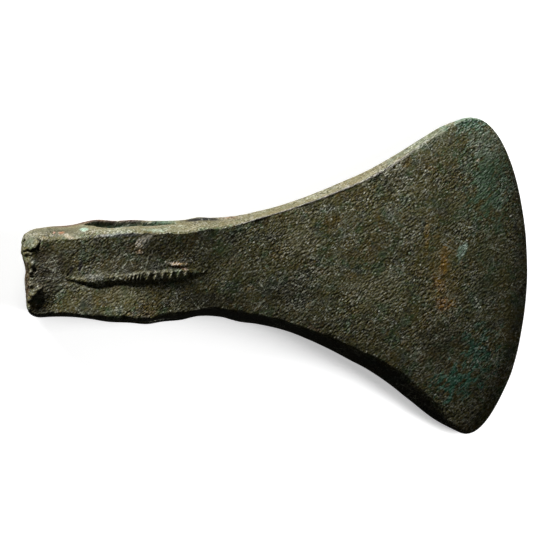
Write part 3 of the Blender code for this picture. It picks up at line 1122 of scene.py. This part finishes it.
@dataclass
class PatinaNodes:
    """The nodes that draw one bronze patina, with places in millimetres.

    Attributes:
        look: The patina to draw.
        tree: The material's node tree, which is changed.
        origin: Where distances and places across start, in metres.
    """

    look: BronzePatina
    tree: Tree
    origin: Vector

    def __post_init__(self) -> None:
        """Adds the places and the masks that several layers use."""
        look = self.look
        self.add = partial(add_node, self.tree)
        ground = self.add("TexCoord", {}, {}, "Object")
        start = {"Location": self.origin, "Scale": (MM, MM, MM)}
        self.place = self.add("Mapping", TEXTURE, {"Vector": ground, **start})
        turn = {"Rotation": (0, 0, math.radians(look.stroke_turn))}
        turn["Scale"] = (look.stroke_stretch, 1, 1)
        self.stroked = self.add("Mapping", TEXTURE, {"Vector": self.place, **turn})
        self.cloud = {"Vector": self.place, "Roughness": look.cloud_roughness}
        self.cloud["Detail"] = look.cloud_detail
        calm = self.add("TexNoise", {}, {**self.cloud, "Scale": 1 / look.calm_period})
        self.rough = self.add("MapRange", SMOOTH, (calm, *look.calm_range, *look.calm_share))
        self.lines = self.scratch_lines()
        self.colour = self.add("RGB", {}, {})
        self.colour.default_value = linear(look.base)

    def scratch_lines(self) -> Socket:
        """Draws fine, nearly straight scratches in several directions.

        Returns:
            A mask of the scratches.
        """
        look = self.look
        total: Socket | float = 0
        for turn, length, width in look.scratches:
            size = {"Scale": (length, width, look.scratch_depth)}
            size["Rotation"] = (0, 0, math.radians(turn))
            drawn = self.add("Mapping", TEXTURE, {"Vector": self.place, **size})
            wavy = self.add("TexNoise", {}, {"Vector": drawn, "Scale": 1, "Detail": 1})
            line = (wavy, look.scratch_level, look.scratch_spread)
            line = self.add("Math", {"operation": "COMPARE"}, line)
            total = self.add("Math", {"operation": "MAXIMUM"}, (total, line))
        patchy = self.add("TexNoise", {}, {**self.cloud, "Scale": 1 / look.scratched_period})
        ends = (*look.scratched_range, 0, look.scratched_share)
        patchy = self.add("MapRange", SMOOTH, (patchy, *ends))
        return self.add("Math", {"operation": "MULTIPLY"}, (total, patchy))

    def cover(
        self, colour: str, mask: Socket, ends: Pair, most: float = 1, rise: Rise = Rise.SMOOTH
    ) -> None:
        """Lays a plain colour over the others where a mask says.

        Args:
            colour: The plain colour.
            mask: The number that says how much of it there is.
            ends: The mask where there is none of it, and where there is most.
            most: Its greatest share.
            rise: How its share rises between the two ends.
        """
        share = self.add("MapRange", {"interpolation_type": rise}, (mask, *ends, 0, most))
        layers = {MIX_SHARE: share, MIX_UNDER: self.colour, MIX_OVER: linear(colour)}
        self.colour = self.add("Mix", {"data_type": "RGBA"}, layers, MIX_RESULT)

    def paint(self) -> Socket:
        """Lays the colours over one another, the grain last.

        Returns:
            The finished colour.
        """
        look = self.look
        for bloom in look.blooms:
            scale = {"Scale": 1 / bloom.period, "Detail": bloom.detail}
            mask = self.add("TexNoise", {}, {**self.cloud, **scale})
            self.cover(bloom.colour, mask, (bloom.low, bloom.high), bloom.strength)
        zones = self.add("Attribute", {"attribute_name": "zones"}, {}, "Color")
        # Painted light on the upper flank, painted shade on the lower flank, and the bore's own
        # colour.
        plains = {"Red": look.upper_flank, "Green": look.lower_flank, "Blue": look.bore}
        for channel, plain in plains.items():
            mask = self.add("SeparateColor", {}, {"Color": zones}, channel)
            self.cover(plain, mask, (0, 1), look.zone_share)
        self.lay_marks()
        hollow = self.add("Attribute", {"attribute_name": "hollow"}, {}, "Fac")
        rubbed = self.add("Attribute", {"attribute_name": "rubbed"}, {}, "Fac")
        # Soil and painted shade in crevices, and pale wear on sharp rises.
        self.cover(look.soil, hollow, (look.level_share, 1), look.soil_share)
        self.cover(look.worn, hollow, (-look.level_share, -1), look.worn_share)
        # Bare metal and a painted highlight on the neck's upper arris.
        self.cover(look.rubbed, rubbed, (0, 1), rise=Rise.EVEN)
        self.cover(look.scratch, self.lines, (0, 1), rise=Rise.EVEN)
        return self.grained()

    def lay_marks(self) -> None:
        """Lays the single patches, which noise tears at their edges."""
        look = self.look
        scale = {"Scale": 1 / look.torn_period, "Detail": look.torn_detail}
        torn = self.add("TexNoise", {}, {**self.cloud, "Vector": self.stroked, **scale})
        for mark in look.marks:
            patch = {"Location": mark.place, "Scale": mark.size}
            patch["Rotation"] = (0, 0, math.radians(mark.turn))
            local = self.add("Mapping", TEXTURE, {"Vector": self.place, **patch})
            far = self.add("VectorMath", {"operation": "LENGTH"}, (local,), "Value")
            reach = self.add("Math", MULTIPLY_ADD, (torn, look.torn_reach * mark.ragged, far))
            middle = look.torn_reach * mark.ragged / 2
            ends = (middle + 1, middle + look.mark_core)
            self.cover(mark.colour, reach, ends, mark.strength)

    def grained(self) -> Socket:
        """Breaks the colour into fine light and dark grains of one hue.

        Returns:
            The colour with the grain.
        """
        look = self.look
        cells = {"Vector": self.stroked, "Scale": 1 / look.grain_period}
        cell = self.add("TexVoronoi", {}, cells, "Color")
        cell = self.add("SeparateColor", {}, {"Color": cell}, "Red")
        inputs = {"Color": self.colour, "Fac": self.rough}
        grains = {"Value": look.grain_value, "Saturation": look.grain_saturation}
        for name, ends in grains.items():
            inputs[name] = self.add("MapRange", SMOOTH, (cell, 0, 1, *ends))
        return self.add("HueSaturation", {}, inputs)

    def emboss(self) -> Socket:
        """Bumps the surface with pits, bosses and scratches.

        Returns:
            The bumped normal.
        """
        look = self.look
        cells = {"Vector": self.place, "Scale": 1 / look.pit_period}
        pits = self.add("TexVoronoi", {}, cells, "Distance")
        total = self.add("MapRange", SMOOTH, (pits, *look.pit_radii, -look.pit_depth, 0))
        cells = {"Vector": self.stroked, "Scale": 1 / look.boss_period}
        boss = self.add("TexVoronoi", {}, cells, "Distance")
        boss = self.add("Math", {"operation": "MULTIPLY"}, (boss, self.rough))
        for mask, scale in ((boss, -look.boss_height), (self.lines, look.scratch_height)):
            total = self.add("Math", MULTIPLY_ADD, (mask, scale, total))
        return self.add("Bump", {}, {"Strength": 1, "Distance": MM, "Height": total})


@dataclass
class AxeHead:
    """The one casting: its lattice, its form, its relief and its finish.

    The front is dished across its middle. A thin lip stands along the neck's
    upper edge, and dents lie in the upper flank.
    """

    casting: Casting = field(default_factory=Casting)
    lattice: Lattice = field(default_factory=Lattice)
    arrises: Arrises = field(default_factory=Arrises)
    rib: Rib = field(default_factory=Rib)
    burrs: Burrs = field(default_factory=Burrs)
    skin: Skin = field(default_factory=Skin)
    patina: BronzePatina = field(default_factory=BronzePatina)
    node: str = "axe_head"
    name: str = "cast_bronze_head"
    origin: Numbers = (82.65, 0.1, 0)
    dish_depth: float = 0.85
    dish_power: float = 1.25
    dish_start: Pair = (4, 20)
    dish_end: Pair = (72, 50)
    dish_middle: float = 0.5
    dish_half_width: float = 13.5
    lip_height: float = 0.16
    lip_width: float = 0.45
    lip_start: Pair = (68, 74)
    lip_end: Pair = (122, 114)
    rubbed_start: Pair = (68, 76)
    rubbed_end: Pair = (142, 118)
    rubbed_fade: Pair = (0.6, 0.2)
    rubbed_share: float = 0.45
    flank_dents: Table = (
        (59, 11.5, 4.6, 1.5, -0.9), (66.5, 10, 5, 1, -0.4), (50, 21, 4, 1.6, -0.3),
    )
    flank_fade: float = 1.2
    bore_start: Pair = (-0.2, 1)
    bore_end: Pair = (-1, -0.6)
    pierced_fade: Pair = (1.2, 1)
    rim_slack: float = 1e-4
    front_fade: Pair = (0.2, 1)
    arris_across: Pair = (0.93, 1)
    arris_deep: Pair = (0.8, 1)
    normal_rounds: int = 20
    hollow_rounds: int = 3
    full_hollow: float = 0.12

    def build(self) -> bpy.types.Object:
        """Models and dresses the head.

        Returns:
            The finished piece.
        """
        shape = self.lattice.block()
        mesh = bpy.data.meshes.new(self.name)
        shape.to_mesh(mesh)
        shape.free()
        corners = np.zeros(len(mesh.vertices) * 3)
        mesh.vertices.foreach_get("co", corners)
        corners = corners.reshape(-1, 3)
        places, spots, site = self.shape(corners)
        zones, rubbed = self.zones(spots, site), self.rubbed(places, spots, site)
        self.set_places(mesh, places)
        relief = self.skin.relief(places, self.arris(corners), zones[:, 2])
        outward = self.spread(mesh, self.normals(mesh), self.normal_rounds)
        places += outward * relief[:, None]
        places[:, 2] = np.maximum(places[:, 2], 0)
        self.set_places(mesh, places)
        self.set_zones(mesh, places, zones, rubbed)
        mesh.shade_smooth()
        mesh.materials.append(self.patina.build(-Vector(self.origin) * MM))
        piece = bpy.data.objects.new(self.name, mesh)
        bpy.context.collection.objects.link(piece)
        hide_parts(self.node)
        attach(piece, "root")
        return piece

    def shape(self, corners: Array) -> tuple[Array, Spots, Site]:
        """Bends the block into the head, with its larger relief.

        Args:
            corners: The block's vertices.

        Returns:
            A place for each vertex, its spot in the bent lattice and its site.
        """
        form, spots = self.casting, self.lattice.spots(corners)
        bent, square = form.around_hole(spots)
        on_side = np.abs(corners[:, Axis.ACROSS]) > ON_SIDE
        at_rim = square < 1 + self.rim_slack
        distance = np.where(on_side | at_rim, bent.distance, spots.distance)
        deep = np.where(on_side | at_rim, bent.deep, spots.deep)
        spots = Spots(distance, spots.across, deep)
        places = form.place(spots)
        back, front = form.faces(places[:, 0], spots)
        below = (1 - np.abs(deep)) * (front - back) / 2
        half_width = form.plan.half_width(form.plan.along(distance))
        inward = (1 - np.abs(spots.across)) * half_width
        site = Site(inward, below, square, on_side, at_rim)
        form.open_rims(places, spots, site)
        relief = self.front_relief(places[:, 0], places[:, 1], inward)
        places[:, 2] += np.where(at_rim, 0, relief * smooth_step(*self.front_fade, deep))
        rounded = places.copy()
        self.arrises.round_off(rounded, spots, inward, front - back)
        places = np.where(at_rim[:, None], places, rounded)
        dents = sum(lump(places[:, 0], places[:, 2], dent) for dent in self.flank_dents)
        places[:, 1] += np.where(on_side & (spots.across > 0), dents, 0)
        return places, spots, site

    def front_relief(self, x: Array, y: Array, inward: Array) -> Array:
        """Adds up the larger relief of the front face.

        Args:
            x: Distances from the poll.
            y: Places across the head.
            inward: Distances from the outline.

        Returns:
            The height over the smooth face.
        """
        run = smooth_step(*self.dish_start, x) * smooth_step(*self.dish_end, x)
        off = np.clip(np.abs(y - self.dish_middle) / self.dish_half_width, 0, 1)
        dish = self.dish_depth * run * (1 - off**self.dish_power)
        run = smooth_step(*self.lip_start, x) * smooth_step(*self.lip_end, x)
        lip = self.lip_height * np.exp(-((inward / self.lip_width) ** 2)) * (y > 0)
        return self.rib.relief(x, y) + self.burrs.relief(x, y) - dish + lip * run

    def zones(self, spots: Spots, site: Site) -> Array:
        """Shares out the zones that the bronze's colours follow.

        Args:
            spots: The head's points in the bent lattice.
            site: What lies round them.

        Returns:
            Each point's shares of the upper flank, the lower flank, the bore
            and the bore with its rims.
        """
        fade = self.flank_fade
        flank = smooth_step(fade, 0, site.inward) * smooth_step(0, fade, site.below)
        flank = flank * (site.on_side | ~site.at_rim)
        bore = np.where(site.at_rim, smooth_step(*self.bore_start, site.inward), 0)
        bore = bore * smooth_step(*self.bore_end, spots.across)
        near = smooth_step(*self.pierced_fade, site.square)
        pierced = np.where(site.on_side | site.at_rim, near, 0)
        upper, lower = flank * (spots.across > 0), flank * (spots.across < 0)
        return np.stack([upper, lower, bore, pierced], 1)

    def rubbed(self, places: Array, spots: Spots, site: Site) -> Array:
        """Measures how much the neck's upper arris is rubbed bare, with a painted highlight on
        it.

        Args:
            places: The head's points.
            spots: The same points in the bent lattice.
            site: What lies round them.

        Returns:
            The share of bare metal and painted highlight at each point.
        """
        x, fade = places[:, 0], self.rubbed_fade
        run = smooth_step(*self.rubbed_start, x) * smooth_step(*self.rubbed_end, x)
        near = smooth_step(*fade, site.inward) * smooth_step(*fade, site.below)
        # Only the front's upper arris, on the lit side, is painted paler.
        return self.rubbed_share * near * run * (spots.across > 0) * (spots.deep > 0)

    def arris(self, corners: Array) -> Array:
        """Marks the arrises between the faces and the flanks.

        Args:
            corners: The block's vertices.

        Returns:
            1 on an arris, falling to 0 away from it.
        """
        spots = self.lattice.spots(corners)
        side = smooth_step(*self.arris_across, np.abs(spots.across))
        return side * smooth_step(*self.arris_deep, np.abs(spots.deep))

    def set_places(self, mesh: bpy.types.Mesh, places: Array) -> None:
        """Writes one place for each vertex into a mesh, in the frame."""
        mesh.vertices.foreach_set("co", ((places - self.origin) * MM).ravel())
        mesh.update()

    def set_zones(
        self, mesh: bpy.types.Mesh, places: Array, zones: Array, rubbed: Array
    ) -> None:
        """Writes the attributes that the bronze's colours follow.

        Args:
            mesh: The mesh, which is changed.
            places: One place for each vertex.
            zones: Its shares of the zones.
            rubbed: How much it is rubbed bare.
        """
        layer = mesh.attributes.new("zones", "FLOAT_COLOR", "POINT")
        layer.data.foreach_set("color", zones.ravel())
        hollow = self.hollow(mesh, places) * (1 - zones[:, 3])
        for name, values in (("hollow", hollow), ("rubbed", rubbed)):
            layer = mesh.attributes.new(name, "FLOAT", "POINT")
            layer.data.foreach_set("value", values)

    @staticmethod
    def normals(mesh: bpy.types.Mesh) -> Array:
        """Reads a mesh's normals.

        Args:
            mesh: The mesh.

        Returns:
            One normal for each vertex.
        """
        found = np.zeros(len(mesh.vertices) * 3)
        mesh.vertex_normals.foreach_get("vector", found)
        return found.reshape(-1, 3)

    @staticmethod
    def neighbours(mesh: bpy.types.Mesh) -> tuple[Array, Array]:
        """Reads which vertices are joined by an edge.

        Args:
            mesh: The mesh.

        Returns:
            The two ends of every edge, each way round.
        """
        ends = np.zeros(len(mesh.edges) * 2, dtype=np.int64)
        mesh.edges.foreach_get("vertices", ends)
        a, b = ends.reshape(-1, 2).T
        return np.concatenate([a, b]), np.concatenate([b, a])

    def spread(self, mesh: bpy.types.Mesh, values: Array, rounds: int) -> Array:
        """Averages each vertex's numbers with its neighbours' ones.

        Args:
            mesh: The head.
            values: A row of numbers for each vertex.
            rounds: How many times they are averaged.

        Returns:
            The averaged numbers.
        """
        here, there = self.neighbours(mesh)
        count = np.bincount(here)[:, None]
        for _ in range(rounds):
            sums = [np.bincount(here, column[there]) for column in values.T]
            values = (values + np.stack(sums, 1) / count) / 2
        return values

    def hollow(self, mesh: bpy.types.Mesh, places: Array) -> Array:
        """Measures how hollow the surface is round each vertex.

        Args:
            mesh: The head.
            places: One place for each vertex.

        Returns:
            About 1 in a crevice and -1 on a sharp rise.
        """
        here, there = self.neighbours(mesh)
        gap = places[there] - places[here]
        rise = np.sum(gap * self.normals(mesh)[here], 1) / np.linalg.norm(gap, axis=1)
        bend = np.bincount(here, rise) / np.bincount(here)
        bend = self.spread(mesh, bend[:, None], self.hollow_rounds)[:, 0]
        return np.clip(bend / self.full_hollow, -1, 1)


@dataclass(frozen=True)
class StudioPaper:
    """Matt white paper with a faint glow, so that it stays pale round the head."""

    colour: str = "f4f4f4"
    roughness: float = 0.9
    glow: float = 0.455

    def build(self) -> bpy.types.Material:
        """Makes the material.

        Returns:
            The new material.
        """
        paper = bpy.data.materials.new("white_paper")
        paper.use_nodes = True
        shader = paper.node_tree.nodes["Principled BSDF"]
        shader.inputs["Base Color"].default_value = linear(self.colour)
        shader.inputs["Roughness"].default_value = self.roughness
        shader.inputs["Emission Color"].default_value = linear(WHITE)
        shader.inputs["Emission Strength"].default_value = self.glow
        return paper


@dataclass(frozen=True)
class SoftLight:
    """A square light that faces the origin, with its place and side in metres."""

    name: str
    place: Numbers
    side: float
    watts: float

    def build(self, lit: bpy.types.Object) -> None:
        """Adds the light.

        Args:
            lit: The one object that it reaches.
        """
        data = bpy.data.lights.new(self.name, "AREA")
        data.size = self.side
        data.energy = self.watts
        lamp = bpy.data.objects.new(self.name, data)
        lamp.location = self.place
        lamp.rotation_mode = "QUATERNION"
        lamp.rotation_quaternion = Vector(self.place).to_track_quat("Z", "Y")
        lamp.visible_camera = False
        bpy.context.collection.objects.link(lamp)
        reached = bpy.data.collections.new(f"lit_by_{self.name}")
        reached.objects.link(lit)
        lamp.light_linking.receiver_collection = reached


@dataclass
class Studio:
    """A pale floor, soft lights for it and the head, and a camera straight above."""

    paper: StudioPaper = field(default_factory=StudioPaper)
    floor_half_m: float = 4
    camera_height_m: float = 2.4
    camera_aside: Pair = (0.04, 0.15)
    sensor_width: float = 36
    sight_m: float = 20
    field_mm: float = 179.7
    focus_level: float = 6
    head_lights: tuple[SoftLight, ...] = (
        SoftLight("key", (-0.504178, 0.94822, 0.238084), 0.34, 20),
        SoftLight("side", (0.78, 0.6, 0.2), 0.34, 0.7),
    )
    floor_lights: tuple[SoftLight, ...] = (
        SoftLight("floor_light_0", (-0.4, 1.15, 0.6), 1.1, 25.6),
        SoftLight("floor_light_1", (1.1, -0.14, 0.42), 0.55, 27.8),
    )
    fill: float = 0.02
    backdrop: float = 0.95

    def build(self, head: bpy.types.Object) -> None:
        """Sets the floor, the lights and the camera.

        Args:
            head: The piece that lies on the floor.
        """
        floor = self.make_floor()
        for lights, lit in ((self.head_lights, head), (self.floor_lights, floor)):
            for light in lights:
                light.build(lit)
        self.make_world()
        self.make_camera()

    def make_floor(self) -> bpy.types.Object:
        """Makes the pale floor.

        Returns:
            The floor.
        """
        shape = bmesh.new()
        bmesh.ops.create_grid(shape, size=self.floor_half_m)
        mesh = bpy.data.meshes.new("studio_floor")
        shape.to_mesh(mesh)
        shape.free()
        mesh.materials.append(self.paper.build())
        floor = bpy.data.objects.new("studio_floor", mesh)
        bpy.context.collection.objects.link(floor)
        floor.visible_diffuse = False
        floor.visible_glossy = False
        return floor

    def make_world(self) -> None:
        """Surrounds the scene with a pale background and a dim soft light."""
        world = bpy.data.worlds.new("studio_air")
        world.use_nodes = True
        tree = world.node_tree
        seen = add_node(tree, "LightPath", {}, {}, "Is Camera Ray")
        ends = {"To Min": self.fill, "To Max": self.backdrop}
        strength = add_node(tree, "MapRange", {}, {"Value": seen, **ends})
        tree.links.new(strength, tree.nodes["Background"].inputs["Strength"])
        tree.nodes["Background"].inputs["Color"].default_value = linear(WHITE)
        bpy.context.scene.world = world

    def make_camera(self) -> None:
        """Hangs a long-lens camera straight above the head."""
        data = bpy.data.cameras.new("camera")
        reach = self.camera_height_m - self.focus_level * MM
        data.sensor_width = self.sensor_width
        data.lens = self.sensor_width * reach / (self.field_mm * MM)
        data.clip_end = self.sight_m
        camera = bpy.data.objects.new("camera", data)
        aside = Vector((*self.camera_aside, 0)) * MM
        camera.location = aside + Vector((0, 0, self.camera_height_m))
        bpy.context.collection.objects.link(camera)
        bpy.context.scene.camera = camera
        bpy.context.scene.view_settings.view_transform = "Standard"


def main() -> None:
    """Builds the head and the studio round it."""
    logging.basicConfig(level=logging.INFO, format="%(name)s: %(message)s")
    head = AxeHead().build()
    LOG.info("%s: %d faces", head.name, len(head.data.polygons))
    Studio().build(head)
    LOG.info("studio is ready")


if __name__ == "__main__":
    main()
